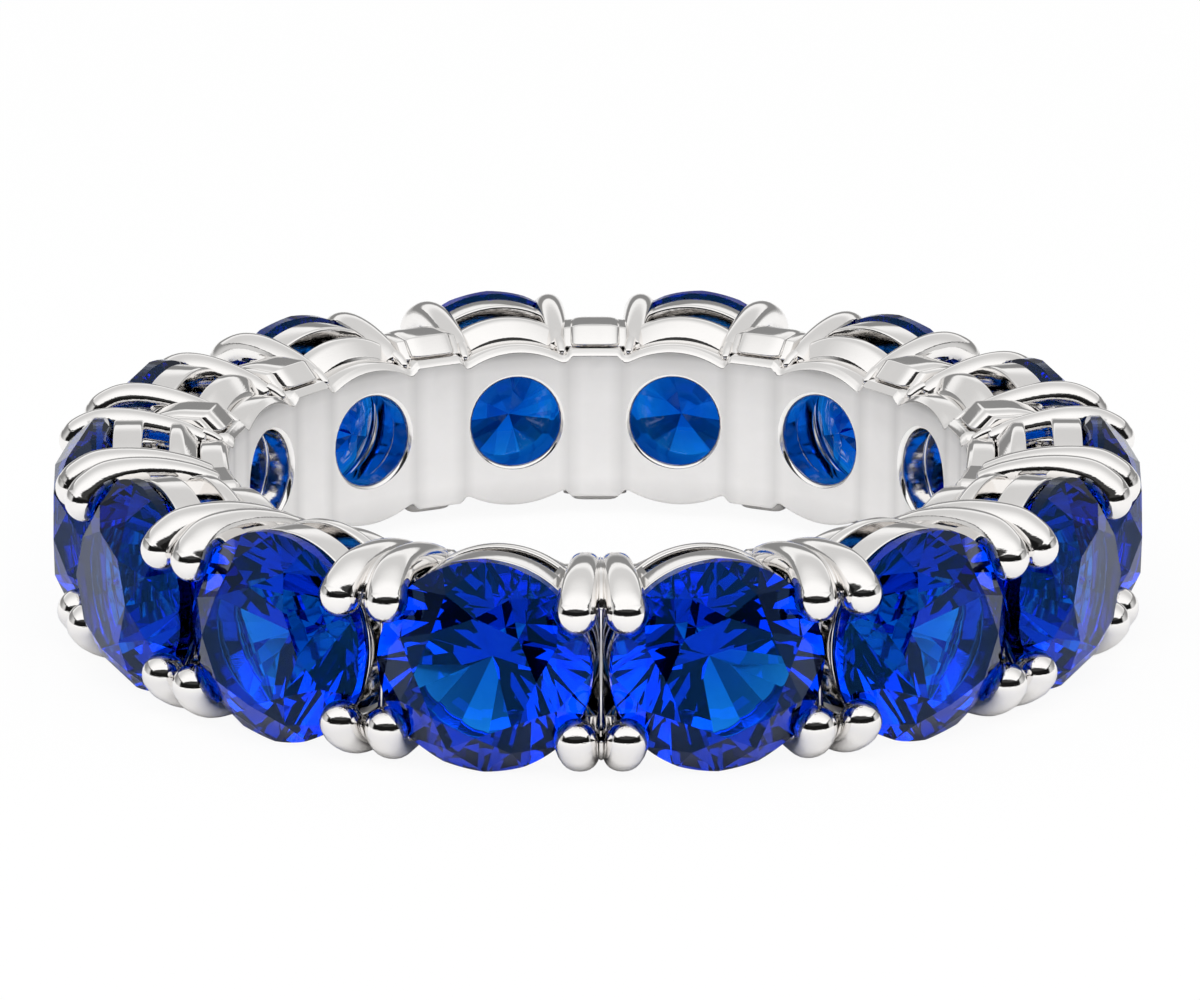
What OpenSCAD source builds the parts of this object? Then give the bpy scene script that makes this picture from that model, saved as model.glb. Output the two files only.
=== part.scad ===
// Full eternity ring: round stones all the way round, each in a four-claw basket on a pierced band.
// The finger's axis is Z, the origin is the centre of the finger hole, and -Y is the front.
// Stones count anticlockwise seen from above, from the one just right of the front.

/* [Ring] */
// Diameter of the finger hole
finger_d = 16.9; // [16.8:0.1:17.4]
// Radial thickness of the band that lies on the finger
band_t = 0.65; // [0.5:0.05:0.8]
// Height of the band where it passes between two stones
band_h = 3.42; // [3.2:0.02:3.6]
// How much higher the band rises at the middle of each scallop
scallop_rise = 0.14; // [0.1:0.02:0.2]
// Diameter of the round window behind each stone
window_d = 2.15; // [1.6:0.05:2.3]

/* [Stones] */
// Girdle diameter of a stone
stone_d = 4.8; // [4.6:0.05:4.85]
// Diameter of the table, corner to corner
table_d = 2.75; // [2.5:0.05:2.9]
// Height of the crown, from girdle to table
crown_h = 0.85; // [0.7:0.05:0.95]
// Thickness of the girdle
girdle_t = 0.3; // [0.1:0.02:0.32]
// Depth of the pavilion, from girdle to culet
pavilion_h = 2.05; // [1.9:0.05:2.1]
// Space between the culet and the band, at least
culet_gap = 0.12; // [0.08:0.01:0.3]
// Space between the girdles of two neighbouring stones, at least
stone_space = 0.25; // [0.15:0.01:0.3]
// Clearance between a stone and its metal
seat_gap = 0.04; // [0.03:0.01:0.06]

/* [Gallery] */
// Width of a rail, along the stone's axis
rail_w = 0.68; // [0.5:0.02:0.75]
// Wall of a rail
rail_wall = 0.34; // [0.28:0.02:0.42]
// How far the upper rail ends below the girdle
rail_drop = 0.2; // [0.16:0.01:0.26]
// How far the upper rail stays inside the girdle
upper_inset = 0.06; // [0.04:0.01:0.12]
// How far the lower rail stays inside the girdle
lower_inset = 0.14; // [0.1:0.01:0.2]

/* [Claws] */
// Diameter of a claw at its tip
tip_d = 0.9; // [0.8:0.02:0.96]
// Diameter of a claw at its shoulder
shoulder_d = 0.74; // [0.66:0.02:0.8]
// Diameter of a claw at its root
root_d = 0.58; // [0.5:0.02:0.62]
// How much farther than the girdle a claw's tip is from the finger's axis
tip_out = 0.5; // [0.44:0.02:0.56]
// Angle of a close pair's tip round its stone, from the line to the next stone
close_angle = 34.6; // [34:0.2:36]
// Angle of an open pair's tip round its stone
open_angle = 42.4; // [42:0.2:44]
// How much thinner the claws of an open pair are
open_slim = 0.06; // [0:0.01:0.1]

/* [Bridges] */
// Length of the bridge between two baskets of an open pair
bridge_l = 1.24; // [1.1:0.02:1.3]
// How far the bridge stands over the band's edge
bridge_rise = 0.51; // [0.42:0.01:0.55]
// Chamfer on the bridge's long edges
bridge_chamfer = 0.12; // [0.08:0.01:0.16]
// How far the low web between the claws of a close pair stands over the band's edge
web_rise = 0.07; // [0.04:0.01:0.12]

/* [Hidden] */
$fn = 64;
stone_count = 14;
pitch = 360 / stone_count;
finger_r = finger_d / 2;
band_r = finger_r + band_t;
band_top = band_h / 2;
girdle_r = stone_d / 2;
// The stones stand as close to the finger as their culets and their neighbours let them
low_for_culets = band_r + culet_gap + pavilion_h;
low_for_girdles = (girdle_r + stone_space / 2) / sin(pitch / 2) - girdle_t / 2;
girdle_low = max(low_for_culets, low_for_girdles);
girdle_high = girdle_low + girdle_t;
culet_r = girdle_low - pavilion_h;
table_r = girdle_high + crown_h;
// The rails stand on the band, and are sunk into it by this much
sink = 0.1;
lower_rail_top = band_r + rail_w;
upper_rail_top = girdle_low - rail_drop;
upper_rail_low = upper_rail_top - rail_w;
upper_rail_r = girdle_r - upper_inset;
lower_rail_r = girdle_r - lower_inset;
// Radius of the room round a stone's pavilion, at a height from the finger's axis
function seat_r(h) = girdle_r * (h - culet_r) / pavilion_h + 1.5 * seat_gap;
// A claw's bars are this share of the balls they join
bar_share = 0.96;
// Angles of a claw's root and shoulder round its stone, and the distances of root, shoulder and tip
// from the stone's axis beyond the girdle
close_turn = [43.8, 42.7];
close_reach = [-0.11, 0.38, 0.2];
open_turn = [54.2, 54.4];
open_reach = [-0.445, -0.01, -0.215];
// Post between the lower rails of two baskets, which ends a little inside their outer faces
post_t = 0.3;
post_h = 2;
post_reach = rail_w + 1.5 * sink;
// How far bridges and webs reach down beside the band, and stay inside the rails' outer faces
bar_reach = 0.45;
bridge_step = 0.06;
web_step = 0.15;
// Bevel at the foot of the band's straight edge, and height of the band's low ring under it
edge_bevel = 0.1;
low_ring = 0.3;
// Cut of the stones: star facets reach this share of the way from table to girdle
star_share = 0.52;
// and the lower girdle facets end at this share of the radius from the culet
lower_half_share = 0.26;
function two(k) = str(k < 10 ? "0" : "", k);
STONES = [for (k = [1 : stone_count]) str("stone_", two(k))];

// Gaps between baskets that show a bridge and open claws: the ones behind the widest line
open_from = ceil(stone_count / 4);
open_to = stone_count - open_from;
function is_open(gap) = gap >= open_from && gap <= open_to;

// Draws along the axis of stone k: x runs round the ring, y up, z outward from the finger's axis
module at_stone(k) {
    rotate([0, 0, pitch * (k - 0.5)]) rotate([90, 0, 0]) children();
}

// The same, at the plane halfway between stone k and the next one
module at_gap(k) {
    rotate([0, 0, pitch * k]) rotate([90, 0, 0]) children();
}

// A round bar through a list of [x, y, z, diameter], flat at its root and with a ball at each later
// point; the bar is a little thinner than the balls, so that each joint shows a crisp shoulder
module rod(path) {
    for (i = [1 : len(path) - 1]) {
        p = path[i];
        q = path[i - 1];
        v = [p[0] - q[0], p[1] - q[1], p[2] - q[2]];
        translate([p[0], p[1], p[2]]) sphere(d = p[3]);
        translate([q[0], q[1], q[2]])
            rotate([0, acos(v[2] / norm(v)), atan2(v[1], v[0])])
                cylinder(h = norm(v), d1 = bar_share * q[3], d2 = bar_share * p[3]);
    }
}

// A point of a claw in its stone's frame, from its angle and distance round the stone's axis and its
// distance from the finger's axis
function claw_point(angle, distance, out, d) = let (x = distance * cos(angle))
    [x, distance * sin(angle), sqrt(out * out - x * x), d];

// A claw from its root on the band over the shoulder to the tip
function claw(turn, tip_angle, reach, slim) = [
    claw_point(turn[0], girdle_r + reach[0], band_r - sink, root_d),
    claw_point(turn[1], girdle_r + reach[1], upper_rail_top, shoulder_d - slim),
    claw_point(tip_angle, girdle_r + reach[2], girdle_high + tip_out, tip_d - slim),
];

// Claws of a close pair stand beside each other; those of an open pair leave room for the bridge
module claws() {
    for (k = [1 : stone_count], side = [0, 1], face = [0, 1])
        at_stone(k) mirror([side, 0, 0]) mirror([0, face, 0])
            rod(is_open(k - side) ? claw(open_turn, open_angle, open_reach, open_slim)
                : claw(close_turn, close_angle, close_reach, 0));
}

// A box that runs between two baskets, with its long outer edges chamfered
module chamfered_bar(length, low, high, inner, outer, chamfer) {
    translate([-length / 2, 0, 0]) rotate([90, 0, 90]) linear_extrude(length) polygon([
        [low, inner], [high - chamfer, inner], [high, inner + chamfer],
        [high, outer - chamfer], [high - chamfer, outer], [low, outer],
    ]);
}

module bridges() {
    for (k = [0 : stone_count - 1], side = [0, 1]) at_gap(k) mirror([0, side, 0])
        if (is_open(k))
            chamfered_bar(bridge_l, band_top - bar_reach, band_top + bridge_rise, band_r - sink,
                lower_rail_top - bridge_step, bridge_chamfer);
        else
            chamfered_bar(bridge_l, band_top - bar_reach, band_top + web_rise, band_r - sink,
                upper_rail_top - web_step, bridge_chamfer / 2);
}

// A ring about the stone's axis, from the low to the high radius from the finger's axis, less the
// room round the pavilion that sinks into it
module rail(r, low, high) {
    rotate_extrude() difference() {
        translate([r - rail_wall, low]) square([rail_wall, high - low]);
        polygon([[0, culet_r], [seat_r(table_r), table_r], [0, table_r]]);
    }
}

// A block at the plane between two baskets, from inside the band outward
module gap_block(k, thickness, height, reach) {
    at_gap(k) translate([-thickness / 2, -height / 2, band_r - 2 * sink]) cube([thickness, height, reach]);
}

// Neighbouring lower rails end just short of each other and are joined by a small post
module rails() {
    for (k = [1 : stone_count]) {
        difference() {
            at_stone(k) rail(lower_rail_r, finger_r - band_t, lower_rail_top);
            cylinder(r = band_r - sink, h = 3 * stone_d, center = true);
            for (gap = [k - 1, k]) gap_block(gap, post_t / 3, stone_d, 2 * rail_w);
        }
        at_stone(k) rail(upper_rail_r, upper_rail_low, upper_rail_top);
        gap_block(k, post_t, post_h, post_reach);
    }
}

// Stretches an outline outward from inside the finger hole to past the band
module through_band() {
    translate([0, 0, finger_r - band_t]) linear_extrude(3 * band_t) children();
}

// The outline of the band: a low ring, a lens behind each stone and a chamfered block in each gap
module band_outline() {
    scallop_r = stone_d / 2;
    top = band_top + scallop_rise;
    straight = bridge_l / 2 - edge_bevel / 2;
    cylinder(r = band_r, h = band_h - low_ring, center = true);
    for (k = [1 : stone_count]) at_stone(k) through_band() intersection() {
        translate([0, top - scallop_r]) circle(scallop_r);
        translate([0, scallop_r - top]) circle(scallop_r);
    }
    for (k = [1 : stone_count]) at_gap(k) through_band() polygon([
        for (a = [1, -1]) each [
            [-a * (straight + edge_bevel), a * (band_top - edge_bevel)], [-a * straight, a * band_top],
            [a * straight, a * band_top], [a * (straight + edge_bevel), a * (band_top - edge_bevel)],
        ],
    ]);
}

module band() {
    difference() {
        intersection() {
            band_outline();
            cylinder(r = band_r, h = 2 * band_h, center = true);
        }
        // The bore's seam is in the front gap, where its wall has no window
        rotate([0, 0, -90]) cylinder(r = finger_r, h = 3 * band_h, center = true);
        for (k = [1 : stone_count]) at_stone(k) through_band() circle(d = window_d);
    }
}

// The room that a stone takes from the claws: its own turned outline with the seat's clearance
module seat_cut() {
    r = girdle_r + seat_gap;
    rotate_extrude() polygon([
        [0, culet_r - seat_gap], [r, girdle_low - seat_gap / 2], [r, girdle_high + seat_gap / 2],
        [table_d / 2 + seat_gap, table_r + seat_gap], [0, table_r + seat_gap],
    ]);
}

// Band, rails, bridges and claws are cast and soldered as one piece of white metal
module setting() {
    color("gainsboro") union() {
        band();
        rails();
        bridges();
        difference() {
            claws();
            for (k = [1 : stone_count]) at_stone(k) seat_cut();
        }
    }
}

// Points on a circle of radius r at height h, every 360 / n degrees from the given turn
function ring_points(n, r, h, turn) = [for (i = [0 : n - 1])
    [r * cos(360 * i / n + turn), r * sin(360 * i / n + turn), h]];

// Round brilliant: table, 8 stars, 8 kites, 16 upper and 16 lower girdle facets, 8 pavilion mains
module brilliant() {
    star_r = table_d / 2 + star_share * (girdle_r - table_d / 2);
    half = 180 / 8;
    // Kites and mains stay flat when their side points lie on the plane from corner to girdle
    star_h = girdle_high + crown_h * (girdle_r - star_r * cos(half)) / (girdle_r - table_d / 2);
    deep_r = lower_half_share * girdle_r;
    deep_h = girdle_low - pavilion_h * (1 - deep_r * cos(half) / girdle_r);
    points = concat(
        ring_points(8, table_d / 2, table_r, 0),
        ring_points(8, star_r, star_h, half),
        ring_points(16, girdle_r, girdle_high, 0),
        ring_points(16, girdle_r, girdle_low, 0),
        ring_points(8, deep_r, deep_h, half),
        [[0, 0, culet_r]]
    );
    star = 8;
    upper = 16;
    lower = 32;
    deep = 48;
    culet = 56;
    polyhedron(points, concat(
        [[7, 6, 5, 4, 3, 2, 1, 0]],
        [for (i = [0 : 7]) [i, (i + 1) % 8, star + i]],
        [for (i = [0 : 7]) [i, star + i, upper + 2 * i]],
        [for (i = [0 : 7]) [i, upper + 2 * i, star + (i + 7) % 8]],
        [for (i = [0 : 7]) [star + i, upper + 2 * i + 1, upper + 2 * i]],
        [for (i = [0 : 7]) [star + i, upper + (2 * i + 2) % 16, upper + 2 * i + 1]],
        [for (i = [0 : 15]) [upper + i, upper + (i + 1) % 16, lower + (i + 1) % 16, lower + i]],
        [for (i = [0 : 7]) [deep + i, lower + 2 * i, lower + 2 * i + 1]],
        [for (i = [0 : 7]) [deep + i, lower + 2 * i + 1, lower + (2 * i + 2) % 16]],
        [for (i = [0 : 7]) [culet, deep + (i + 7) % 8, lower + 2 * i]],
        [for (i = [0 : 7]) [culet, lower + 2 * i, deep + i]]
    ));
}

module stone(k) {
    color("mediumblue") at_stone(k) brilliant();
}

setting();
for (k = [1 : stone_count]) {
    stone(k);
}
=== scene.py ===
"""Looks of a full eternity ring: a claw-set setting of white metal and fourteen deep blue stones.

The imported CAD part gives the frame. Its metal and its stones are replaced by finer pieces of the same
size. The finger's axis is Z and the front is -Y. Properties are in metres, and the shapes are worked out
in millimetres.
"""

import math

import bmesh
import bpy
import numpy as np
from bpy.props import FloatProperty, FloatVectorProperty, IntProperty, PointerProperty
from bpy.types import Operator, Panel, PropertyGroup
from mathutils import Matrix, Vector


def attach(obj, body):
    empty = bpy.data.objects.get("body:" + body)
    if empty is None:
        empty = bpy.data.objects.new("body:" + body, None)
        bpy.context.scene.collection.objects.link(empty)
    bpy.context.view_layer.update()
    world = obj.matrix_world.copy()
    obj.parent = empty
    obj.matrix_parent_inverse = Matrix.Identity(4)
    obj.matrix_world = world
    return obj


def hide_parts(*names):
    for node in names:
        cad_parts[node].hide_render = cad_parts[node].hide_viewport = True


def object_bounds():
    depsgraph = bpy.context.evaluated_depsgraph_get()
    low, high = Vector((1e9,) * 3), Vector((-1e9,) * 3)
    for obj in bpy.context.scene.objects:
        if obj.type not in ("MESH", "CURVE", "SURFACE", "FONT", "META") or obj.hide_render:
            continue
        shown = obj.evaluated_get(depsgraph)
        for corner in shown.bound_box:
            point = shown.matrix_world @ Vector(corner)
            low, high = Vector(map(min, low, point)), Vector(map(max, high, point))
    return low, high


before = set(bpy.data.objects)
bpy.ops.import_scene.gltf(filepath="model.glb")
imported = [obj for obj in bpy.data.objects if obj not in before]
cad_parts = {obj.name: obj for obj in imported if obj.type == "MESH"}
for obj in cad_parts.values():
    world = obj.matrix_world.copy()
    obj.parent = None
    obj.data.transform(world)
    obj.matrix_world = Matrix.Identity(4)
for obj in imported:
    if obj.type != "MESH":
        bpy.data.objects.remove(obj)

bl_info = {
    "name": "Eternity Ring",
    "version": (1, 0, 0),
    "blender": (4, 5, 0),
    "location": "3D View > Sidebar > Ring",
    "description": "Builds the looks of an eternity ring on its packed frame",
    "category": "Object",
}

MM = 0.001
cad_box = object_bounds()


# Properties

def length(millimetres, name, description):
    """A length property, in metres, from its size in millimetres."""
    return FloatProperty(
        name=name, description=description, default=millimetres * MM,
        unit="LENGTH", subtype="DISTANCE", precision=5,
    )


def colour(name, description, default):
    """A colour property."""
    return FloatVectorProperty(
        name=name, description=description, default=default, subtype="COLOR", size=3, min=0, max=1,
    )


class RingSizes(PropertyGroup):
    """Sizes of the band and of the stones."""

    stone_count: IntProperty(name="Stones", description="Number of stones", default=14)
    finger_r: length(8.45, "Finger radius", "Radius of the finger hole")
    band_r: length(9.1, "Band radius", "Outer radius of the band")
    band_half: length(1.71, "Band half height", "Half height of the band between two stones")
    notch_half: length(1.56, "Notch half height", "Half height of the band in the notches")
    straight: length(0.57, "Straight half length", "Half length of the band's straight edge in a gap")
    edge_bevel: length(0.1, "Edge bevel", "Bevel at the ends of the straight edge")
    scallop_r: length(2.4, "Scallop radius", "Radius of the scalloped edge behind a stone")
    scallop_top: length(1.85, "Scallop top", "Height of the scalloped edge at its middle")
    skirt: length(0.2, "Skirt", "How far the band's lower edge goes further than its upper edge")
    lip: length(0.15, "Lip", "Height of the polished lip at the band's upper edge")
    rim: length(0.09, "Rim", "Radius of the polished rim of a window")
    window_r: length(1.075, "Window radius", "Radius of the round window behind a stone")
    girdle_r: length(2.4, "Girdle radius", "Radius of a stone")
    culet: length(9.22, "Culet", "Distance of a stone's culet from the finger's axis")
    girdle_low: length(11.27, "Girdle, inner", "Distance of the girdle's inner edge from the finger's axis")
    girdle_high: length(11.57, "Girdle, outer", "Distance of the girdle's outer edge from the finger's axis")
    table: length(12.42, "Table", "Distance of a stone's table from the finger's axis")
    table_r: length(1.375, "Table radius", "Radius of a stone's table")
    seat_gap: length(0.035, "Seat gap", "Clearance between a stone and its claws")


class ClawSizes(PropertyGroup):
    """Sizes of the claws and of the ribs between them."""

    tip_r: length(0.49, "Tip radius", "Radius of a claw of a close pair at its tip")
    open_tip_r: length(0.41, "Open tip radius", "Radius of a claw of an open pair at its tip")
    rib_r: length(0.06, "Rib radius", "Radius of the ribs between the claws of a close pair")
    sides: IntProperty(name="Sides", description="Points round a claw", default=28, min=12, max=64)


class RailSizes(PropertyGroup):
    """Sizes of the round gallery rails."""

    lower_r: length(2.26, "Lower radius", "Outer radius of the lower rail")
    lower_low: length(9.14, "Lower rail, inner", "Inner edge of the lower rail, from the finger's axis")
    lower_high: length(9.78, "Lower rail, outer", "Outer edge of the lower rail, from the finger's axis")
    lower_wall: length(1.1, "Lower wall", "Wall of the lower rail, which reaches in to the window")
    upper_r: length(2.34, "Upper radius", "Outer radius of the upper rail")
    upper_low: length(10.39, "Upper rail, inner", "Inner edge of the upper rail, from the finger's axis")
    upper_high: length(11.07, "Upper rail, outer", "Outer edge of the upper rail, from the finger's axis")
    upper_wall: length(0.75, "Upper wall", "Wall of the upper rail at its inner end")
    rounding: length(0.075, "Rounding", "Radius of the rails' edges")
    foot_slope: length(0.36, "Foot slope", "Size of the slope at the lower rail's foot")
    foot_step: length(0.1, "Foot step", "Width of the steep step between that slope and the band")


class RingLooks(PropertyGroup):
    """Colours and finish."""

    metal: colour("Metal", "Colour of the polished white metal", (0.93, 0.912, 0.895))
    matt: colour("Satin metal", "Colour of the satin metal on the finger side", (0.97, 0.955, 0.94))
    polish: FloatProperty(name="Polish", description="Roughness of the polished metal", default=0.045)
    satin: FloatProperty(name="Satin", description="Roughness of the finger side", default=0.52)
    stone: colour("Stone", "Tint of the stones' surface", (0.35, 0.58, 1.0))
    depth: colour("Depth", "Colour that light takes inside the stones", (0.0, 0.75, 0.955))
    density: FloatProperty(
        name="Density", description="Strength of the colour inside the stones", default=2000.0,
    )


class StageSizes(PropertyGroup):
    """Camera, floor and lamp."""

    distance: length(240.0, "Distance", "Distance of the camera from the ring's middle")
    azimuth: FloatProperty(
        name="Azimuth", description="Turn of the camera round the ring", subtype="ANGLE", default=-0.007,
    )
    elevation: FloatProperty(
        name="Elevation", description="Height of the camera above the ring", subtype="ANGLE", default=0.288,
    )
    pitch: FloatProperty(
        name="Pitch", description="How far the camera looks down", subtype="ANGLE", default=0.286,
    )
    focal: FloatProperty(name="Focal length", description="Focal length in millimetres", default=313.86)
    aside: length(0.055, "Aside", "How far the camera stands aside of the ring's middle")
    floor_half: length(1500.0, "Floor", "Half the side of the floor")
    lamp_distance: length(350.0, "Lamp distance", "How far before and above the ring the lamp hangs")
    lamp_wide: length(500.0, "Lamp width", "Width of the lamp")
    lamp_high: length(400.0, "Lamp height", "Height of the lamp")
    lamp_power: FloatProperty(name="Lamp power", description="Power of the lamp in watts", default=1.85)


# Geometry helpers

class Millimetres:
    """Reads the lengths of a property group in millimetres."""

    def __init__(self, group):
        self.group = group

    def __getattr__(self, name):
        return getattr(self.group, name) / MM


def turned(points, angle):
    """Points given as x round the ring, y outward and z up, turned to an angle from the front."""
    p = np.asarray(points, float)
    s, c = math.sin(angle), math.cos(angle)
    x = p[..., 0] * c + p[..., 1] * s
    y = p[..., 0] * s - p[..., 1] * c
    return np.stack([x, y, p[..., 2]], -1)


def mirrored(points, side, face):
    """Points mirrored to the other side of a gap or to the ring's other face."""
    return np.asarray(points, float) * (side, 1, face)


class Shell:
    """Collects vertices and faces of several closed forms, in millimetres, into one mesh."""

    def __init__(self):
        self.points, self.faces, self.slots = [], [], []
        self.count = 0

    def add(self, points, faces, slot=0):
        """Adds a form, with one material slot for all of its faces or a list of slots."""
        points = np.asarray(points, float).reshape(-1, 3)
        self.faces += [[int(i) + self.count for i in face] for face in faces]
        self.slots += [slot] * len(faces) if isinstance(slot, int) else list(slot)
        self.points.append(points)
        self.count += len(points)

    def build(self, name, materials, sharp=math.radians(35)):
        """Makes the object: points that meet are joined, and all faces are turned outward."""
        mesh = bpy.data.meshes.new(name)
        mesh.from_pydata((np.concatenate(self.points) * MM).tolist(), [], self.faces)
        for material in materials:
            mesh.materials.append(material)
        mesh.polygons.foreach_set("material_index", self.slots)
        mesh.polygons.foreach_set("use_smooth", [True] * len(self.faces))
        mesh.update()
        mesh.validate()
        work = bmesh.new()
        work.from_mesh(mesh)
        bmesh.ops.remove_doubles(work, verts=work.verts[:], dist=0.002 * MM)
        bmesh.ops.recalc_face_normals(work, faces=work.faces[:])
        work.to_mesh(mesh)
        work.free()
        mesh.set_sharp_from_angle(angle=sharp)
        obj = bpy.data.objects.new(name, mesh)
        bpy.context.scene.collection.objects.link(obj)
        return obj


def grid_faces(rows, columns, closed_rows=False, closed_columns=False):
    """Quads of a grid of points in row order."""
    faces = []
    for i in range(rows if closed_rows else rows - 1):
        for j in range(columns if closed_columns else columns - 1):
            k, m = (i + 1) % rows, (j + 1) % columns
            faces.append([i * columns + j, i * columns + m, k * columns + m, k * columns + j])
    return faces


def tube_faces(rings, sides):
    """Faces of a tube of rings, with a flat face at each end."""
    last = (rings - 1) * sides
    ends = [list(range(sides))[::-1], [last + i for i in range(sides)]]
    return grid_faces(rings, sides, closed_columns=True) + ends


def spline(stations, steps):
    """A smooth curve through rows of numbers, with the given steps between two rows."""
    p = np.asarray(stations, float)
    padded = np.vstack([2 * p[0] - p[1], p, 2 * p[-1] - p[-2]])
    rows = []
    for i in range(1, len(padded) - 2):
        a, b, c, d = padded[i - 1:i + 3]
        square, cube = 2 * a - 5 * b + 4 * c - d, 3 * b - a - 3 * c + d
        for t in np.arange(steps) / steps:
            rows.append(0.5 * (2 * b + (c - a) * t + square * t ** 2 + cube * t ** 3))
    rows.append(p[-1])
    return np.array(rows)


def swept(stations, sides, steps=7, root_length=0.5, tip_length=1.0, cap=7, square=0.0):
    """Points and faces of a rod through rows of [x, y, z, radius]. Its ends are round, and with a share
    of square it gets squarer towards its root."""
    rows = spline(stations, steps)
    centre, radius = rows[:, :3], rows[:, 3]
    tangent = np.gradient(centre, axis=0)
    tangent /= np.linalg.norm(tangent, axis=1)[:, None]
    side = np.array([1.0, 0, 0]) - tangent * tangent[:, :1]
    side /= np.linalg.norm(side, axis=1)[:, None]
    up = np.cross(side, tangent)
    bend = np.linspace(math.pi / 2, 0, cap + 1)[1:-1]
    angles = np.arange(sides) / sides * 2 * math.pi

    def end_rings(i, share, bends):
        """Centre, radius and station of each ring of a round end."""
        reach = tangent[i] * radius[i] * share
        return [(centre[i] + reach * math.sin(b), radius[i] * math.cos(b), i) for b in bends]

    middle = [(centre[i], radius[i], i) for i in range(len(rows))]
    rings = []
    for place, r, i in end_rings(0, -root_length, bend) + middle + end_rings(-1, tip_length, bend[::-1]):
        power = 1 - square * (1 - (i % len(rows)) / len(rows))
        across, along = [np.sign(v) * np.abs(v) ** power for v in (np.cos(angles), np.sin(angles))]
        rings.append(place + r * (across[:, None] * side[i] + along[:, None] * up[i]))
    root = centre[0] - tangent[0] * radius[0] * root_length
    tip = centre[-1] + tangent[-1] * radius[-1] * tip_length
    points = np.vstack([*rings, root, tip])
    faces = grid_faces(len(rings), sides, closed_columns=True)
    first, last, base = len(points) - 2, len(points) - 1, (len(rings) - 1) * sides
    for j in range(sides):
        faces.append([first, (j + 1) % sides, j])
        faces.append([last, base + j, base + (j + 1) % sides])
    return points, faces


def rounded_profile(corners, radius, steps=4):
    """A closed outline with each corner rounded. A corner may bring its own radius."""
    outline = []
    for i, corner in enumerate(corners):
        p = np.array(corner[:2], float)
        r = corner[2] if len(corner) > 2 else radius
        before = np.array(corners[i - 1][:2], float) - p
        after = np.array(corners[(i + 1) % len(corners)][:2], float) - p
        r = min(r, 0.45 * np.linalg.norm(before), 0.45 * np.linalg.norm(after))
        a = p + before / np.linalg.norm(before) * r
        b = p + after / np.linalg.norm(after) * r
        for t in np.linspace(0, 1, steps + 1):
            outline.append((1 - t) ** 2 * a + 2 * t * (1 - t) * p + t ** 2 * b)
    return np.array(outline)


def rounded_bar(span, corners, rounding, end_size=0.6):
    """A bar along x with a rounded outline of (y, z) corners, which gets smaller towards its ends in a
    soft curve."""
    outline = rounded_profile(corners, rounding)
    centre = outline.mean(0)
    rows = []
    for x in np.sin(np.linspace(-0.5, 0.5, 15) * math.pi):
        share = end_size + (1 - end_size) * math.sqrt(1 - x ** 6)
        ring = centre + (outline - centre) * share
        rows.append(np.stack([np.full(len(ring), x * span / 2), ring[:, 0], ring[:, 1]], -1))
    return np.concatenate(rows), tube_faces(len(rows), len(outline))


def pitch(ring):
    """Angle between two stones."""
    return 2 * math.pi / ring.group.stone_count


def is_open(gap, count):
    """Whether a gap has the open claws and the bridge. They are in the back half of the ring."""
    return math.ceil(count / 4) <= gap % count <= count - math.ceil(count / 4)


def in_stone_frame(points, ring, side):
    """From a gap's frame to that of the stone on its positive side, or back with side -1."""
    half = side * pitch(ring) / 2
    s, c = math.sin(half), math.cos(half)
    x, y = points[:, 0], points[:, 1]
    return np.stack([x * c - y * s, y * c + x * s, points[:, 2]], -1)


def cleared(points, ring):
    """Points in a stone's frame, pushed out of the room that the stone takes."""
    gap = ring.seat_gap
    outline = np.array([
        [0, ring.culet - gap * 1.5],
        [ring.girdle_r + gap, ring.girdle_low - gap / 2],
        [ring.girdle_r + gap, ring.girdle_high + gap / 2],
        [ring.table_r + gap, ring.table + gap],
        [0, ring.table + gap],
    ])
    r, height = np.hypot(points[:, 0], points[:, 2]), points[:, 1]
    q = np.stack([r, height], -1)
    wide = np.interp(height, outline[:4, 1], outline[:4, 0])
    inside = (height > outline[0, 1]) & (height < outline[3, 1]) & (r < wide)
    best = np.full(len(q), np.inf)
    target = q.copy()
    for a, b in zip(outline[:-1], outline[1:]):
        t = np.clip(((q - a) @ (b - a)) / ((b - a) @ (b - a)), 0, 1)
        near = a + t[:, None] * (b - a)
        away = np.linalg.norm(q - near, axis=1)
        target = np.where((away < best)[:, None], near, target)
        best = np.minimum(away, best)
    scale = np.where(inside, target[:, 0] / np.maximum(r, 1e-6), 1.0)
    y = np.where(inside, target[:, 1], height)
    return np.stack([points[:, 0] * scale, y, points[:, 2] * scale], -1)


# Materials

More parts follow.
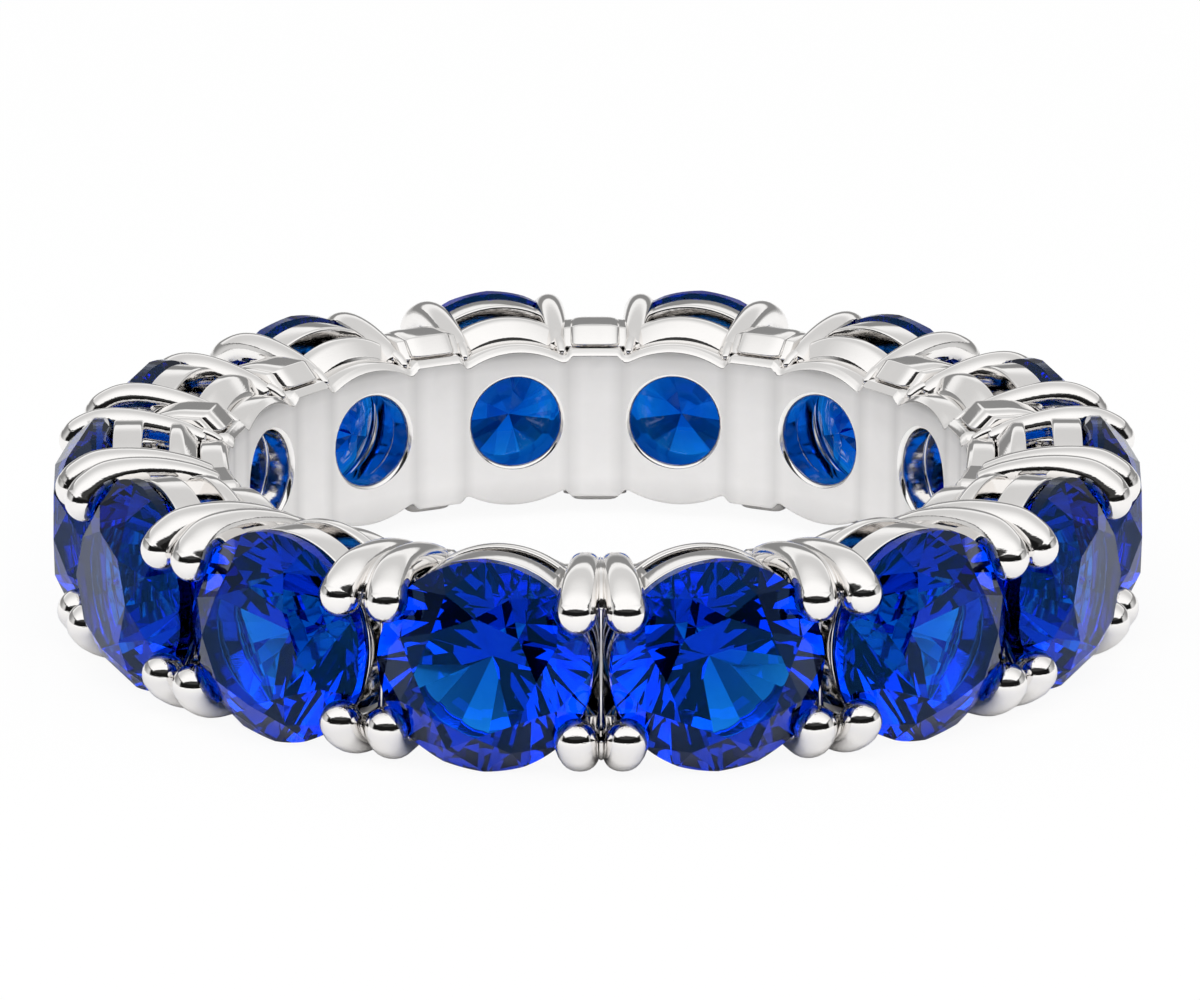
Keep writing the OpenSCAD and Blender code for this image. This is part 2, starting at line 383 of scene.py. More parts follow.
class Nodes:
    """Builds a material's node tree in a few words."""

    def __init__(self, name):
        self.material = bpy.data.materials.new(name)
        self.material.use_nodes = True
        self.tree = self.material.node_tree
        self.tree.nodes.clear()
        self.output = self.tree.nodes.new("ShaderNodeOutputMaterial")

    def node(self, kind, settings=None, **inputs):
        """Adds a node. Its inputs are given by name, with _ for a space, or as i0, i1 and i2."""
        n = self.tree.nodes.new("ShaderNode" + kind)
        for key, value in (settings or {}).items():
            setattr(n, key, value)
        for key, value in inputs.items():
            self.plug(n.inputs[int(key[1:]) if key[1:].isdigit() else key.replace("_", " ")], value)
        return n

    def math(self, operation, *values):
        """Adds a math node."""
        inputs = {"i%d" % i: value for i, value in enumerate(values)}
        return self.node("Math", {"operation": operation}, **inputs)

    def plug(self, socket, value):
        """Links a node or a socket to a socket, or sets the socket's own value."""
        if isinstance(value, bpy.types.NodeSocket):
            self.tree.links.new(value, socket)
        elif isinstance(value, bpy.types.Node):
            self.tree.links.new(value.outputs[0], socket)
        else:
            socket.default_value = value

    def ramp(self, factor, stops):
        """Adds a colour ramp of stops, each with a grey or a colour."""
        n = self.node("ValToRGB", i0=factor)
        while len(n.color_ramp.elements) < len(stops):
            n.color_ramp.elements.new(0.5)
        for element, (position, value) in zip(n.color_ramp.elements, stops):
            element.position = position
            element.color = (*value, 1) if isinstance(value, tuple) else (value, value, value, 1)
        return n

    def in_millimetres(self):
        """The place on the object, in millimetres."""
        place = self.node("TexCoord").outputs["Object"]
        return self.node("Mapping", Vector=place, Scale=(1 / MM, 1 / MM, 1 / MM))


def painted_edge_shade(m, place, tint, stones):
    """Paints shade into a tint: darker towards the band's edges and in strips beside each gap."""
    x, y, z = m.node("SeparateXYZ", Vector=place).outputs
    turn = m.math("MULTIPLY", m.math("ARCTAN2", x, y), float(stones))
    wave = m.math("MULTIPLY_ADD", m.math("COSINE", turn), 0.5, 0.5)
    # Painted shade in strips beside each gap
    beside = m.ramp(wave, [(0.55, 0.97), (0.75, 0.86), (0.94, 1.0)])
    height = m.math("MULTIPLY_ADD", z, 0.2, 0.5)
    # Painted shade towards the band's upper and lower edges
    edge = m.ramp(height, [
        (0.07, 0.74), (0.13, 0.86), (0.22, 0.97), (0.6, 1.0), (0.75, 0.93), (0.8, 0.8), (0.83, 0.55),
    ])
    for shade in (beside, edge):
        tint = m.node("MixRGB", {"blend_type": "MULTIPLY"}, Fac=1.0, Color1=tint, Color2=shade)
    return tint


def metal_material(name, tone, roughness, spread, grain, bump, gloss=1.0, stones=0):
    """White metal with faint cloudy smudges, fine polishing lines and a slight waviness. With the number
    of stones given it gets painted shade towards the band's edges and beside each gap."""
    m = Nodes(name)
    place = m.in_millimetres()
    cloud = m.node("TexNoise", Vector=place, Scale=0.9, Detail=5.0, Roughness=0.6).outputs["Fac"]
    drawn = m.node("Mapping", Vector=place, Scale=(1.0, 1.0, 7.0))
    lines = m.node("TexNoise", Vector=drawn, Scale=grain, Detail=3.0).outputs["Fac"]
    smudge = m.ramp(cloud, [(0.3, roughness), (0.7, roughness + spread)])
    mix = m.ramp(cloud, [(0.35, 0.0), (0.75, 1.0)])
    darker = (*[c * 0.965 for c in tone], 1)
    tint = m.node("MixRGB", Fac=mix, Color1=(*tone, 1), Color2=darker)
    # Painted shade towards the band's edges and beside each gap
    if stones:
        tint = painted_edge_shade(m, place, tint, stones)
    relief = m.node("Bump", Strength=bump, Distance=0.02 * MM, Height=lines)
    shader = m.node("BsdfPrincipled", Base_Color=tint, Roughness=smudge, Normal=relief)
    shader.inputs["Metallic"].default_value = gloss
    m.plug(m.output.inputs["Surface"], shader)
    return m.material


def painted_facet_light(m):
    """Painted light and shade for each facet: a tone by the way it faces. The table, which faces away from
    the finger's axis, is painted brighter than the others."""
    normal = m.node("NewGeometry").outputs["True Normal"]
    # Painted facet shade: a random tone from each facet's normal
    random = m.node("TexWhiteNoise", Vector=normal).outputs["Value"]
    tone = m.ramp(random, [(0.0, (0.15, 0.25, 0.5)), (0.4, (0.7, 0.85, 0.95)), (1.0, (1.0, 1.0, 1.0))])
    place = m.node("TexCoord").outputs["Object"]
    outward = m.node("VectorMath", {"operation": "MULTIPLY"}, i0=place, i1=(1, 1, 0))
    outward = m.node("VectorMath", {"operation": "NORMALIZE"}, i0=outward)
    facing = m.node("VectorMath", {"operation": "DOT_PRODUCT"}, i0=normal, i1=outward).outputs["Value"]
    # Painted brightness on the table
    table = m.math("GREATER_THAN", facing, 0.97)
    return m.node("MixRGB", Fac=table, Color1=tone, Color2=(1.2, 1.2, 1.4, 1))


def stone_material(name, surface, depth, density):
    """Deep blue stone: clear and strongly refracting, bluer the farther light goes, with soft zones and
    painted light and shade on its facets."""
    m = Nodes(name)
    zones = m.node("TexNoise", Vector=m.in_millimetres(), Scale=0.5, Detail=4.0, Roughness=0.6)
    mix = m.ramp(zones.outputs["Fac"], [(0.38, 0.0), (0.66, 1.0)])
    deeper = (*[c * 0.72 for c in surface], 1)
    tint = m.node("MixRGB", Fac=mix, Color1=deeper, Color2=(*surface, 1))
    # Painted facet light and shade, on the faces seen from outside
    outside = m.math("SUBTRACT", 1.0, m.node("NewGeometry").outputs["Backfacing"])
    tint = m.node("MixRGB", {"blend_type": "MULTIPLY"}, Fac=outside, Color1=tint, Color2=painted_facet_light(m))
    shader = m.node("BsdfPrincipled", Base_Color=tint)
    shader.inputs["Roughness"].default_value = 0.0
    shader.inputs["IOR"].default_value = 1.77
    shader.inputs["Transmission Weight"].default_value = 1.0
    shader.inputs["Specular Tint"].default_value = (0.02, 0.2, 0.7, 1)
    m.plug(m.output.inputs["Surface"], shader)
    inside = m.node("VolumeAbsorption")
    inside.inputs["Color"].default_value = (*depth, 1)
    inside.inputs["Density"].default_value = density
    m.plug(m.output.inputs["Volume"], inside)
    return m.material


def floor_material():
    """Pale, matt studio floor, which the picture sees brighter than the metal does. It is clear from
    below."""
    m = Nodes("studio_floor")
    place = m.node("TexCoord").outputs["Object"]
    cloud = m.node("TexNoise", Vector=place, Scale=40.0, Detail=2.0)
    tone = m.ramp(cloud.outputs["Fac"], [(0.3, 0.86), (0.7, 0.88)])
    matt = m.node("BsdfDiffuse", Color=tone)
    bright = m.node("Emission", Color=(1, 1, 1, 1), Strength=1.0)
    seen = m.math("MULTIPLY", m.node("LightPath").outputs["Is Camera Ray"], 0.93)
    above = m.node("MixShader", i0=seen, i1=matt, i2=bright)
    from_below = m.node("NewGeometry").outputs["Backfacing"]
    floor = m.node("MixShader", i0=from_below, i1=above, i2=m.node("BsdfTransparent"))
    m.plug(m.output.inputs["Surface"], floor)
    return m.material


def polished_metal(context):
    """The mirror finish of rails, claws, bridges and the band's edges, made on first use."""
    name, looks = "polished_metal", context.scene.ring_looks
    made = bpy.data.materials.get(name)
    return made or metal_material(name, tuple(looks.metal), looks.polish, 0.03, 6.0, 0.06)


def satin_metal(context):
    """The satin finish of the finger side, with painted shade towards its edges and beside each gap."""
    looks, stones = context.scene.ring_looks, context.scene.ring_sizes.stone_count
    return metal_material("satin_metal", tuple(looks.matt), looks.satin, 0.08, 16.0, 0.2, 0.55, stones)


def clear_blue(context):
    """The stones' material."""
    looks = context.scene.ring_looks
    return stone_material("clear_blue", tuple(looks.stone), tuple(looks.depth), looks.density)


def finished(obj):
    """A piece of the setting: it rides on the root, and the CAD metal that it stands for is hidden."""
    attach(obj, "root")
    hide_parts("setting")
    return obj


# Stones

def brilliant_mesh(ring, name, count=96):
    """A round brilliant cut from a fine cylinder by its facets' planes: x aside, y outward, z up, in
    millimetres."""
    work = bmesh.new()
    rounds = []
    for height in (ring.culet - 0.1, ring.table + 0.1):
        rounds.append([
            work.verts.new((ring.girdle_r * math.cos(a), height, ring.girdle_r * math.sin(a)))
            for a in np.arange(count) / count * 2 * math.pi
        ])
    work.faces.new(rounds[0])
    work.faces.new(rounds[1][::-1])
    for i in range(count):
        j = (i + 1) % count
        work.faces.new((rounds[0][j], rounds[0][i], rounds[1][i], rounds[1][j]))
    eighth = math.pi / 8
    middle = Vector((0, (ring.girdle_low + ring.girdle_high) / 2, 0))

    def cut(*corners):
        """Cuts off what lies beyond the plane through three corners, each a radius, a turn in steps of
        22.5 degrees and a height."""
        a, b, c = [Vector((r * math.cos(t * eighth), h, r * math.sin(t * eighth))) for r, t, h in corners]
        normal = (b - a).cross(c - a).normalized()
        if normal.dot(a - middle) < 0:
            normal = -normal
        form = work.verts[:] + work.edges[:] + work.faces[:]
        result = bmesh.ops.bisect_plane(work, geom=form, plane_co=a, plane_no=normal, clear_outer=True)
        edges = [e for e in result["geom_cut"] if isinstance(e, bmesh.types.BMEdge) and e.is_boundary]
        if edges:
            bmesh.ops.contextual_create(work, geom=edges)

    low, high, top = ring.girdle_low, ring.girdle_high, ring.table
    star_r = ring.table_r + 0.52 * (ring.girdle_r - ring.table_r)
    crown_slope = (top - high) / (ring.girdle_r - ring.table_r)
    star_h = high + crown_slope * (ring.girdle_r - star_r * math.cos(eighth))
    deep_r = 0.2 * ring.girdle_r
    deep_h = low - (low - ring.culet) * (1 - deep_r * math.cos(eighth) / ring.girdle_r)
    cut((ring.table_r, 0, top), (ring.table_r, 2, top), (ring.table_r, 4, top))
    for i in range(0, 16, 2):
        cut((ring.table_r, i, top), (star_r, i + 1, star_h), (star_r, i - 1, star_h))
        cut((ring.girdle_r, i, low), (deep_r, i + 1, deep_h), (deep_r, i - 1, deep_h))
    for i in range(0, 16, 2):
        cut((ring.table_r, i, top), (ring.table_r, i + 2, top), (star_r, i + 1, star_h))
        for j in (i, i + 1):
            cut((star_r, i + 1, star_h), (ring.girdle_r, j, high), (ring.girdle_r, j + 1, high))
            cut((deep_r, i + 1, deep_h), (ring.girdle_r, j, low), (ring.girdle_r, j + 1, low))
    bmesh.ops.remove_doubles(work, verts=work.verts[:], dist=1e-5)
    bmesh.ops.recalc_face_normals(work, faces=work.faces[:])
    mesh = bpy.data.meshes.new(name)
    work.to_mesh(mesh)
    work.free()
    return mesh


def stone_piece(ring, mesh, name, number, material):
    """Stone of a number, turned to its place. It stands for the CAD stone of the same size."""
    points = np.empty(len(mesh.vertices) * 3)
    mesh.vertices.foreach_get("co", points)
    placed = turned(points.reshape(-1, 3), pitch(ring) * (number - 0.5)) * MM
    own = mesh.copy()
    own.name = name
    own.vertices.foreach_set("co", placed.ravel())
    # Turning a stone to its place mirrors it, so its faces are flipped back
    own.flip_normals()
    own.materials.append(material)
    own.update()
    obj = bpy.data.objects.new(name, own)
    bpy.context.scene.collection.objects.link(obj)
    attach(obj, "root")
    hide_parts("stone_%02d" % number)
    return obj


# Band

def band_top(ring, angle):
    """Half height of the band at an angle from a stone's middle."""
    middle = (ring.finger_r + ring.band_r) / 2
    from_stone = abs(middle * math.sin(angle))
    from_gap = abs(middle * math.sin(pitch(ring) / 2 - abs(angle)))
    arc = math.sqrt(max(ring.scallop_r ** 2 - from_stone ** 2, 0))
    scallop = ring.scallop_top - ring.scallop_r + arc
    over = from_gap - ring.straight
    block = ring.band_half - max(over, 0) if over < ring.edge_bevel else 0
    return max(scallop, block, ring.notch_half)


def band_turns(ring):
    """Angles over one stone's length of band, with the ends of the straight edges among them."""
    half = pitch(ring) / 2
    turns = set(np.round(np.linspace(-half, half, 45), 6))
    for end in (ring.straight, ring.straight + ring.edge_bevel):
        edge = math.asin(end / ring.band_r)
        turns |= {round(half - edge, 6), round(edge - half, 6)}
    return np.array(sorted(turns))


def band_wall(ring, turn, top):
    """One stone's length of band from its window to its edges, on both sides: rows of [x, y, z] and the
    slot of each row of faces."""
    high, low = top - ring.lip, -(top + ring.skirt - ring.lip)
    side = np.linspace(high[0], low[0], 9)[1:-1]
    angle = np.concatenate([turn[::-1], np.full(len(side), turn[0]), turn, np.full(len(side), turn[-1])])
    height = np.concatenate([high[::-1], side, low, side[::-1]])
    around = np.arctan2(height, (ring.finger_r + ring.band_r) / 2 * np.sin(angle))
    rim, rows = ring.rim, []

    def row(radius, share, hole):
        """Points at a radius from the finger's axis, a share of the way from the window to the edge."""
        u, z = hole * np.cos(around), hole * np.sin(around)
        u = u + share * (radius * np.sin(angle) - u)
        z = z + share * (height - z)
        rows.append(np.stack([u, np.sqrt(radius ** 2 - u ** 2), z], -1))

    satin_rows = (1, 0.8, 0.6, 0.42, 0.27, 0.14, 0.05, 0)
    for share in satin_rows:
        row(ring.finger_r, share, ring.window_r + rim)
    # Round rim of the window: how far in, and how far out from the finger side, in rim radii
    for share, out in ((0.12, 0.0), (0.2, 0.03), (0.5, 0.22), (0.78, 0.5), (0.95, 0.82), (1, 1.1)):
        row(ring.finger_r + rim * out, 0, ring.window_r + rim * (1 - share))
    # Wall of the window, and its outer edge with a small bevel
    bevel = 0.055
    for radius in np.linspace(ring.finger_r + 2 * rim, ring.band_r - bevel, 4):
        row(radius, 0, ring.window_r)
    for share in (0, 0.2, 0.5, 0.8, 1):
        row(ring.band_r, share, ring.window_r + bevel)
    satin = len(satin_rows) - 1
    return np.array(rows), [1] * satin + [0] * (len(rows) - 1 - satin)


def band_piece(ring, name, materials):
    """The band: one wall and two edges for each stone. Its slots are polished and satin metal."""
    shell = Shell()
    turn = band_turns(ring)
    top = np.array([band_top(ring, a) for a in turn])
    rows, slots = band_wall(ring, turn, top)
    r0, r1, lip = ring.finger_r, ring.band_r, ring.lip
    # Across an edge, from the finger side outward, as radius and depth below the edge's top
    outside = [(r1 - 0.06, 0), (r1 - 0.02, -0.02), (r1, -0.06), (r1, -lip)]
    upper = [
        (r0, -lip), (r0 + 0.012, -lip * 0.88), (r0 + 0.07, -lip * 0.4), (r0 + 0.1, -0.05),
        (r0 + 0.13, -0.015), (r0 + 0.17, 0), *outside,
    ]
    lower = [(r0, -lip), (r0, -0.09), (r0 + 0.012, -0.045), (r0 + 0.04, -0.012), (r0 + 0.08, 0), *outside]
    for number in range(1, ring.group.stone_count + 1):
        angle = pitch(ring) * (number - 0.5)
        faces = grid_faces(*rows.shape[:2], closed_columns=True)
        shell.add(turned(rows, angle), faces, np.repeat(slots, rows.shape[1]).tolist())
        # The upper edge is polished. The lower one goes further and is satin as far as it faces the finger
        for face, across, more, satin in ((1, upper, 0, 0), (-1, lower, ring.skirt, 4)):
            strip = np.array([
                [[r * math.sin(a), r * math.cos(a), face * (t + more + d)] for a, t in zip(turn, top)]
                for r, d in across
            ])
            faces = grid_faces(*strip.shape[:2])
            slot = [int(i // (len(turn) - 1) < satin) for i in range(len(faces))]
            shell.add(turned(strip, angle), faces, slot)
    return shell.build(name, materials, math.radians(40))


# Rails

def rail_ring(ring, rail, outer, low, high, wall, foot=False):
    """A rail about a stone's axis, clear of the stone. With a foot its inner end follows the band."""
    segments = 96
    inner = outer - wall

    def clear(h):
        """Least radius that is clear of the stone at a height."""
        return ring.girdle_r * (h - ring.culet) / (ring.girdle_low - ring.culet) + 0.05

    corners = [(inner, low), (outer, low), (outer, high)]
    if clear(high) > inner:
        bend = low + (inner - clear(low)) / (clear(high) - clear(low)) * (high - low)
        corners += [(clear(high), high, 0.02), (inner, bend, 0.05)]
    else:
        corners += [(inner, high)]
    if foot:
        slope, step, rise = rail.foot_slope, rail.foot_step, 0.04
        corners[1:2] = [
            (outer - slope - step, low, 0.01), (outer - slope, low + rise, 0.02), (outer, low + slope, 0.1),
        ]
    outline = rounded_profile(corners, rail.rounding)
    turn = np.arange(segments) / segments * 2 * math.pi
    rows = []
    for r, h in outline:
        x, z = r * np.cos(turn), r * np.sin(turn)
        y = np.full(segments, h)
        if foot:
            drop = low - np.sqrt(low ** 2 - x ** 2)
            y = h - drop * (high - h) / (high - low)
        rows.append(np.stack([x, y, z], -1))
    return np.array(rows), grid_faces(len(rows), segments, closed_rows=True, closed_columns=True)


def rail_posts(rail):
    """Four short posts between a stone's two rails, one beside each claw."""
    inner, sink = 1.93, 0.08
    low, high = rail.lower_high - sink, rail.upper_low + sink
    corners = [(inner, low), (rail.lower_r + 0.01, low), (rail.upper_r - 0.04, high), (inner, high)]
    outline = rounded_profile(corners, 0.05)
    turns = np.radians(np.linspace(43, 55, 6))
    points = np.array([[(r * math.cos(t), h, r * math.sin(t)) for r, h in outline] for t in turns])
    faces = tube_faces(len(turns), len(outline))
    return [(mirrored(points, side, face), faces) for side in (1, -1) for face in (1, -1)]


def rails_piece(ring, rail, name, materials):
    """The rails and posts of all baskets."""
    shell = Shell()
    parts = [
        rail_ring(ring, rail, rail.lower_r, rail.lower_low, rail.lower_high, rail.lower_wall, foot=True),
        rail_ring(ring, rail, rail.upper_r, rail.upper_low, rail.upper_high, rail.upper_wall),
        *rail_posts(rail),
    ]
    for number in range(1, ring.group.stone_count + 1):
        for points, faces in parts:
            shell.add(turned(points, pitch(ring) * (number - 0.5)), faces)
    return shell.build(name, materials)


# Claws and bridges

# Stations of the claws from root to tip: x from the gap's middle, y from the finger's axis, z and
# radius, in millimetres. The radius at the tip is a property.
CLOSE = [
    (0.325, 9.05, 1.60, 0.29),
    (0.335, 9.55, 1.78, 0.32),
    (0.36, 10.25, 1.93, 0.35),
    (0.40, 10.95, 1.965, 0.385),
    (0.465, 11.5, 1.88, 0.43),
    (0.525, 11.87, 1.65, 0.465),
]
CLOSE_TIP = (0.56, 12.01, 1.455)
OPEN = [
    (0.88, 9.12, 1.60, 0.24),
    (0.93, 9.6, 1.76, 0.29),
    (1.00, 10.3, 1.90, 0.33),
    (1.07, 10.95, 1.955, 0.355),
    (1.105, 11.5, 1.89, 0.37),
    (1.10, 11.9, 1.68, 0.395),
]
OPEN_TIP = (1.10, 12.05, 1.49)
# Stations of the rib over a close pair, in the gap's middle: y and z
RIB = [(8.98, 1.72), (9.6, 1.96), (10.3, 2.08), (10.95, 2.12), (11.45, 2.02), (11.78, 1.78), (11.88, 1.55)]
# Stations of the stub at the foot of an open claw, as in the claws' lists
STUB = [(0.86, 9.1, 1.78, 0.13), (0.82, 8.92, 1.7, 0.125), (0.79, 8.75, 1.6, 0.11)]
# Stations of the upright wire in a close gap: z and radius
WIRE = [(1.5, 0.12), (1.1, 0.07), (0.5, 0.045), (-0.3, 0.045), (-0.9, 0.07), (-1.4, 0.12)]
# Outline of a bridge, as y, z and some corners' own rounding, and how far its shoulders stay inside it
BRIDGE = [
    (8.7, 1.76, 0.02), (8.7, 1.79, 0.02), (9.07, 2.16, 0.04), (9.95, 2.15, 0.3), (10.75, 1.85, 0.2),
    (10.75, 1.3), (9.14, 1.3), (9.14, 1.76),
]
SHOULDER_IN = (0.14, -0.09)
# Outline of the web between the claws of a close pair
WEB = [(9.0, 1.2), (9.0, 1.72), (9.12, 1.8), (10.6, 1.84), (10.7, 1.3)]


def claw_points(ring, stations, sides, square):
    """Points and faces of a claw in its gap's frame, notched by the stone on its positive side."""
    points, faces = swept(stations, sides, square=square)
    seated = cleared(in_stone_frame(points, ring, 1), ring)
    return in_stone_frame(seated, ring, -1), faces


def claws_piece(ring, claw, name, materials):
    """Four claws in each gap. Those of a close pair are somewhat square at their roots."""
    shell = Shell()
    close = claw_points(ring, [*CLOSE, (*CLOSE_TIP, claw.tip_r)], claw.group.sides, 0.3)
    opened = claw_points(ring, [*OPEN, (*OPEN_TIP, claw.open_tip_r)], claw.group.sides, 0.0)
    count = ring.group.stone_count
    for gap in range(count):
        points, faces = opened if is_open(gap, count) else close
        for side in (1, -1):
            for face in (1, -1):
                shell.add(turned(mirrored(points, side, face), pitch(ring) * gap), faces)
    return shell.build(name, materials, math.radians(60))


def bridges_piece(ring, claw, name, materials):
    """Bridges with shoulders and stubs between open claws, and webs, ribs and wires between close ones."""
    shell = Shell()
    inset = [(corner[0] + SHOULDER_IN[0], corner[1] + SHOULDER_IN[1], *corner[2:]) for corner in BRIDGE]
    bridge = rounded_bar(1.2, BRIDGE, 0.05)
    shoulder = rounded_bar(1.5, inset, 0.05, 0.9)
    stub = swept(STUB, 16, 4)
    web = rounded_bar(0.7, WEB, 0.04, 0.9)
    wire = swept([(0, 11.1, z, r) for z, r in WIRE], 12, 5)
    rib = swept([(0, y, z, claw.rib_r) for y, z in RIB], 14, 5)
    count = ring.group.stone_count
    for gap in range(count):
        for face in (1, -1):
            if is_open(gap, count):
                parts = [(bridge, 1), (shoulder, 1), (stub, 1), (stub, -1)]
            else:
                parts = [(web, 1), (rib, 1)] + [(wire, 1)] * (face > 0)
            for (points, faces), side in parts:
                shell.add(turned(mirrored(points, side, face), pitch(ring) * gap), faces)
    return shell.build(name, materials)


# Studio

def studio_world():
    """White studio for reflections: a wide softbox overhead, pale walls and a dark wall before the ring."""
    world = bpy.data.worlds.new("studio")
    world.use_nodes = True
    tree = world.node_tree
    tree.nodes.clear()

    def node(kind, *values, **settings):
        """Adds a node, with values or sockets for its first inputs."""
        n = tree.nodes.new("ShaderNode" + kind)
        for key, value in settings.items():
            setattr(n, key, value)
        for socket, value in zip(n.inputs, values):
            if isinstance(value, (int, float)):
                socket.default_value = value
            else:
                tree.links.new(value, socket)
        return n

    def calc(operation, *values):
        return node("Math", *values, operation=operation).outputs[0]

    def smooth(value, low, high):
        """Goes softly from 0 to 1 between two limits."""
        return node("MapRange", value, low, high, 0.0, 1.0, interpolation_type="SMOOTHSTEP").outputs[0]

    def blend(a, b, share):
        return calc("ADD", calc("MULTIPLY", calc("SUBTRACT", b, a), share), a)

    x, y, z = node("SeparateXYZ", node("TexCoord").outputs["Generated"]).outputs
    up = calc("MAXIMUM", z, 0.02)
    across = calc("ABSOLUTE", calc("DIVIDE", x, up))
    along = calc("DIVIDE", y, up)
    flat = calc("SQRT", calc("ADD", calc("MULTIPLY", x, x), calc("MULTIPLY", y, y)))
    towards = calc("DIVIDE", calc("MULTIPLY", y, -1.0), calc("MAXIMUM", flat, 0.001))
    # The softbox is a rectangle on a ceiling at height 1, less bright over the back of the ring
    softbox = calc("MULTIPLY", smooth(across, 2.12, 1.98), smooth(along, -1.22, -1.12))
    softbox = calc("MULTIPLY", softbox, smooth(along, 3.1, 2.4))
    ceiling = blend(1.35, 0.86, smooth(along, -0.5, 0.6))
    ceiling = blend(ceiling, 1.2, smooth(along, 1.1, 1.9))
    # The walls are dark before the ring, pale at its sides and grey low behind it
    wall = blend(0.84, 0.012, smooth(towards, 0.1, 0.3))
    wall = blend(wall, 0.06, smooth(z, 0.36, 0.4))
    wall = blend(wall, 0.33, calc("MULTIPLY", smooth(towards, 0.1, -0.6), smooth(z, -0.02, 0.12)))
    light = blend(wall, ceiling, softbox)
    light = blend(light, 0.8, smooth(z, 0.0, -0.02))
    light = blend(light, 1.0, node("LightPath").outputs["Is Camera Ray"])
    background = node("Background")
    tree.links.new(light, background.inputs["Strength"])
    tree.links.new(background.outputs[0], node("OutputWorld").inputs["Surface"])
    return world


def add_floor(scene, half):
    """Lays the floor at the height of the part's lowest point."""
    lowest = cad_box[0][2]
    mesh = bpy.data.meshes.new("floor")
    corners = [(-half, -half, lowest), (half, -half, lowest), (half, half, lowest), (-half, half, lowest)]
    mesh.from_pydata(corners, [], [(0, 1, 2, 3)])
    floor = bpy.data.objects.new("floor", mesh)
    mesh.materials.append(floor_material())
    scene.collection.objects.link(floor)


def add_lamp(scene, stage):
    """Hangs a lamp before and above the ring. It lights the satin side, and mirrors don't show it."""
    data = bpy.data.lights.new("lamp", "AREA")
    data.shape = "RECTANGLE"
    data.size, data.size_y, data.energy = stage.lamp_wide, stage.lamp_high, stage.lamp_power
    lamp = bpy.data.objects.new("lamp", data)
    lamp.location = (0.0, -stage.lamp_distance, stage.lamp_distance)
    lamp.rotation_euler = (math.pi / 4, 0, 0)
    lamp.visible_glossy = False
    scene.collection.objects.link(lamp)


def add_camera(scene, stage):
    """Puts the camera at the photograph's angle."""
    data = bpy.data.cameras.new("camera")
    data.lens, data.sensor_width = stage.focal, 36.0
    data.clip_start, data.clip_end = 0.01, 10.0
    camera = bpy.data.objects.new("camera", data)
    back = stage.distance * math.cos(stage.elevation)
    s, c = math.sin(stage.azimuth), math.cos(stage.azimuth)
    height = stage.distance * math.sin(stage.elevation)
    camera.location = (stage.aside * c + back * s, stage.aside * s - back * c, height)
    camera.rotation_euler = (math.pi / 2 - stage.pitch, 0, stage.azimuth)
    scene.collection.objects.link(camera)
    scene.camera = camera


# Operators

class RING_OT_band(Operator):
    """Builds the band with its scalloped edges and round windows"""

    bl_idname = "ring.band"
    bl_label = "Band"

    def execute(self, context):
        ring = Millimetres(context.scene.ring_sizes)
        finished(band_piece(ring, "band", [polished_metal(context), satin_metal(context)]))
        return {"FINISHED"}


class RING_OT_rails(Operator):
    """Builds a lower and an upper round rail behind each stone"""

    bl_idname = "ring.rails"
    bl_label = "Rails"

    def execute(self, context):
        ring = Millimetres(context.scene.ring_sizes)
        rail = Millimetres(context.scene.rail_sizes)
        finished(rails_piece(ring, rail, "rails", [polished_metal(context)]))
        return {"FINISHED"}


class RING_OT_bridges(Operator):
    """Builds the bridges, webs and ribs between the baskets"""

    bl_idname = "ring.bridges"
    bl_label = "Bridges"

    def execute(self, context):
        ring = Millimetres(context.scene.ring_sizes)
        claw = Millimetres(context.scene.claw_sizes)
        finished(bridges_piece(ring, claw, "bridges", [polished_metal(context)]))
        return {"FINISHED"}


class RING_OT_claws(Operator):
    """Builds the claws, notched where they hold the stones"""

    bl_idname = "ring.claws"
    bl_label = "Claws"

    def execute(self, context):
        ring = Millimetres(context.scene.ring_sizes)
        claw = Millimetres(context.scene.claw_sizes)
        finished(claws_piece(ring, claw, "claws", [polished_metal(context)]))
        return {"FINISHED"}


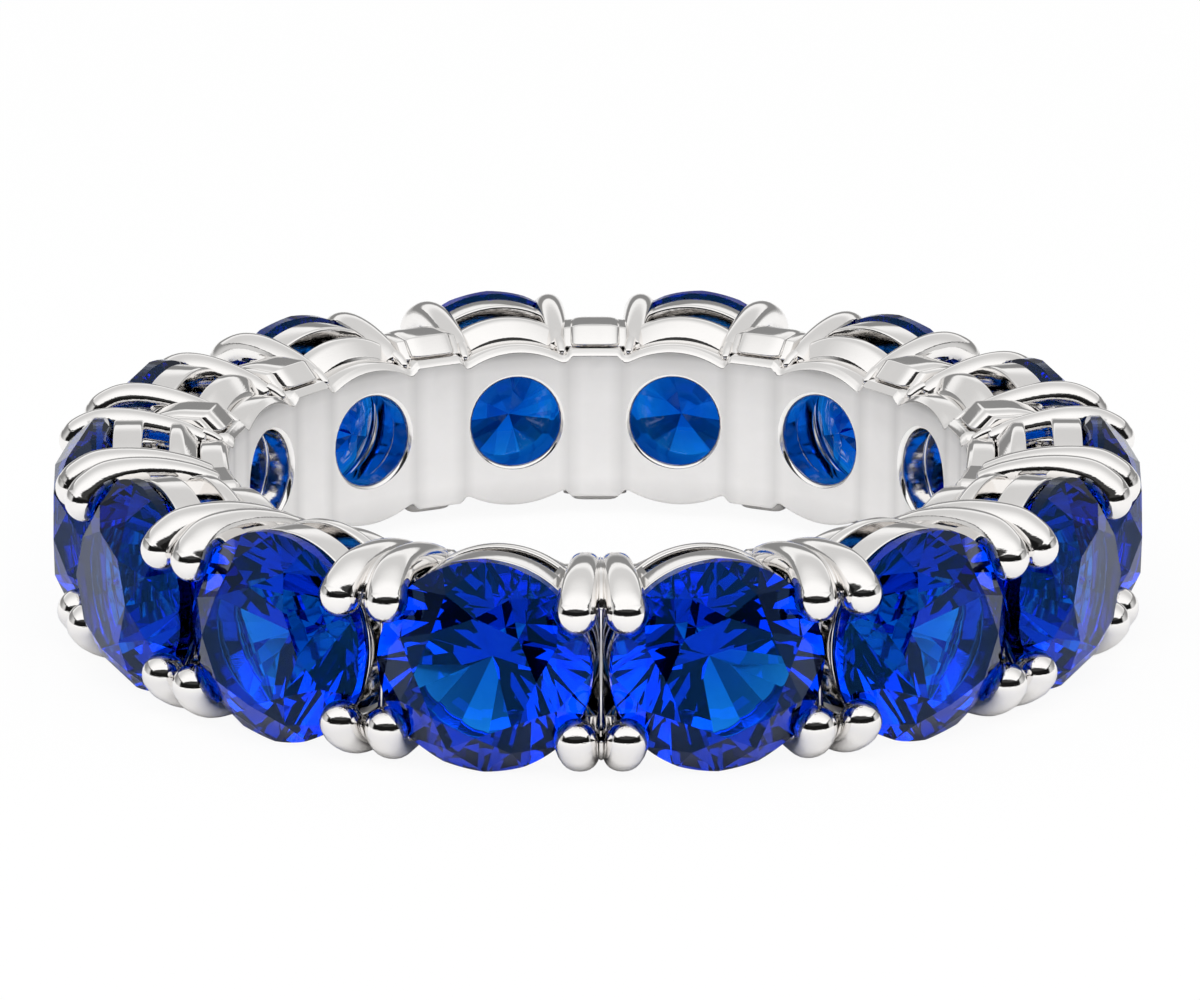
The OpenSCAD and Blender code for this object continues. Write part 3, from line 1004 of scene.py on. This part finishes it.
class RING_OT_stones(Operator):
    """Builds a round brilliant with a fine girdle in each basket"""

    bl_idname = "ring.stones"
    bl_label = "Stones"

    def execute(self, context):
        ring = Millimetres(context.scene.ring_sizes)
        mesh = brilliant_mesh(ring, "brilliant")
        material = clear_blue(context)
        for number in range(1, ring.group.stone_count + 1):
            stone_piece(ring, mesh, "brilliant_%02d" % number, number, material)
        bpy.data.meshes.remove(mesh)
        return {"FINISHED"}


class RING_OT_stage(Operator):
    """Builds the pale floor, the studio light and the camera at the photograph's angle"""

    bl_idname = "ring.stage"
    bl_label = "Stage"

    def execute(self, context):
        scene = context.scene
        add_floor(scene, scene.stage_sizes.floor_half)
        add_lamp(scene, scene.stage_sizes)
        add_camera(scene, scene.stage_sizes)
        scene.world = studio_world()
        scene.view_settings.view_transform = "Standard"
        scene.view_settings.look = "None"
        return {"FINISHED"}


class RING_PT_panel(Panel):
    """Lists the ring's pieces in the order they are built"""

    bl_label = "Eternity Ring"
    bl_idname = "RING_PT_panel"
    bl_space_type = "VIEW_3D"
    bl_region_type = "UI"
    bl_category = "Ring"

    def draw(self, context):
        for operator in OPERATORS:
            self.layout.operator(operator.bl_idname)


GROUPS = {
    "ring_sizes": RingSizes,
    "claw_sizes": ClawSizes,
    "rail_sizes": RailSizes,
    "ring_looks": RingLooks,
    "stage_sizes": StageSizes,
}
OPERATORS = (RING_OT_band, RING_OT_rails, RING_OT_bridges, RING_OT_claws, RING_OT_stones, RING_OT_stage)


def register():
    for cls in (*GROUPS.values(), *OPERATORS, RING_PT_panel):
        bpy.utils.register_class(cls)
    for name, group in GROUPS.items():
        setattr(bpy.types.Scene, name, PointerProperty(type=group))


def unregister():
    for name in GROUPS:
        delattr(bpy.types.Scene, name)
    for cls in (RING_PT_panel, *reversed(OPERATORS), *reversed(list(GROUPS.values()))):
        bpy.utils.unregister_class(cls)


def main():
    register()
    bpy.ops.ring.band()
    bpy.ops.ring.rails()
    bpy.ops.ring.bridges()
    bpy.ops.ring.claws()
    bpy.ops.ring.stones()
    bpy.ops.ring.stage()


if __name__ == "__main__":
    main()
